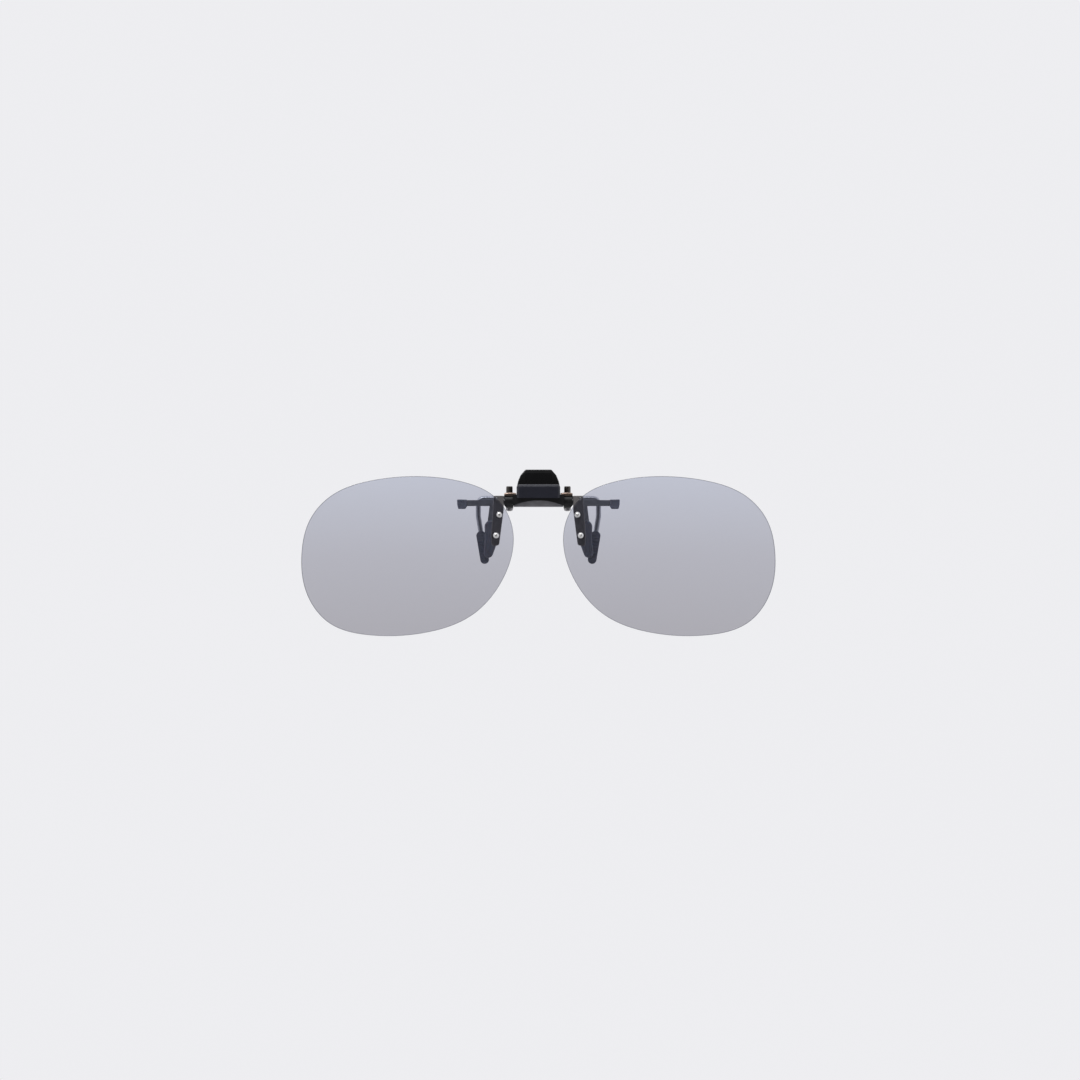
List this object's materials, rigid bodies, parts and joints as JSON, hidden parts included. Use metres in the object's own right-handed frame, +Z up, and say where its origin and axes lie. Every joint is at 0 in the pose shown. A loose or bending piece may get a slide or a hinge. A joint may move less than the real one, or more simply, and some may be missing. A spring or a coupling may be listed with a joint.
{
  "type": "clip on flip lenses",
  "caption": "Pair of light grey polarised lenses that flip up on a spring clip which grips the bridge of a pair of spectacles.",
  "frame": {"origin": "middle of the gap between the front and rear claws, level with the flip axle, on the centre plane", "axes": "+X to the wearer's left, +Y from the lenses towards the wearer's spectacles, +Z up"},
  "size_m": [0.1302, 0.0122, 0.0458],
  "materials": {
    "lens_polarised": "clear light grey polarising film, hard coated",
    "washer_clear": "clear nylon",
    "chassis_black": "semi-gloss black over die casting",
    "cover_navy": "satin navy black",
    "tab_black": "gloss black moulding",
    "bracket_gunmetal": "dark gunmetal",
    "axle_grey": "satin grey",
    "strip_bronze": "dark bronze spring leaf",
    "screw_black": "blackened steel",
    "nut_gunmetal": "dark nickel",
    "rivet_bright": "bright",
    "claw_steel": "dark gunmetal sheet",
    "wire_dark": "dark gunmetal wire",
    "pin_steel": "turned steel",
    "spring_steel": "drawn spring wire",
    "pad_rubber": "soft matt sleeve"
  },
  "bodies": {
    "clip_base": {"clip_chassis": "chassis_black", "front_cover": "cover_navy", "front_claw_plate": "claw_steel", "claw_plate_rivets": "pin_steel", "front_tip_left": "pad_rubber", "front_tip_right": "pad_rubber", "front_pad_left": "pad_rubber", "front_pad_right": "pad_rubber", "clamp_strip_left": "strip_bronze", "clamp_strip_right": "strip_bronze", "clamp_screw_left": "screw_black", "clamp_screw_right": "screw_black", "clamp_nut_left": "nut_gunmetal", "clamp_nut_right": "nut_gunmetal", "pivot_pin": "pin_steel", "torsion_spring": "spring_steel"},
    "rear_lever": {"lever_plate": "claw_steel", "thumb_tab": "tab_black", "rear_claw_wire": "wire_dark", "rear_pad_left": "pad_rubber", "rear_pad_right": "pad_rubber"},
    "flip_lenses": {"flip_axle": "axle_grey", "lens_bracket_left": "bracket_gunmetal", "lens_bracket_right": "bracket_gunmetal", "lens_left": "lens_polarised", "lens_right": "lens_polarised", "lens_rivet_upper_left": "rivet_bright", "lens_rivet_upper_right": "rivet_bright", "lens_rivet_lower_left": "rivet_bright", "lens_rivet_lower_right": "rivet_bright", "lens_washer_upper_left": "washer_clear", "lens_washer_upper_right": "washer_clear", "lens_washer_lower_left": "washer_clear", "lens_washer_lower_right": "washer_clear"}
  },
  "joints": [
    {"name": "lens_flip", "type": "hinge", "parent": "clip_base", "child": "flip_lenses", "pos_m": [0, -0.0048, 0], "axis": [-1, 0, 0], "range_deg": [0, 95]},
    {"name": "clip_open", "type": "hinge", "parent": "clip_base", "child": "rear_lever", "pos_m": [0, -0.0008, 0.0029], "axis": [1, 0, 0], "range_deg": [0, 18], "stiffness_Nm_per_rad": 0.05, "springref_deg": -34.38, "deforming": ["torsion_spring"]}
  ]
}
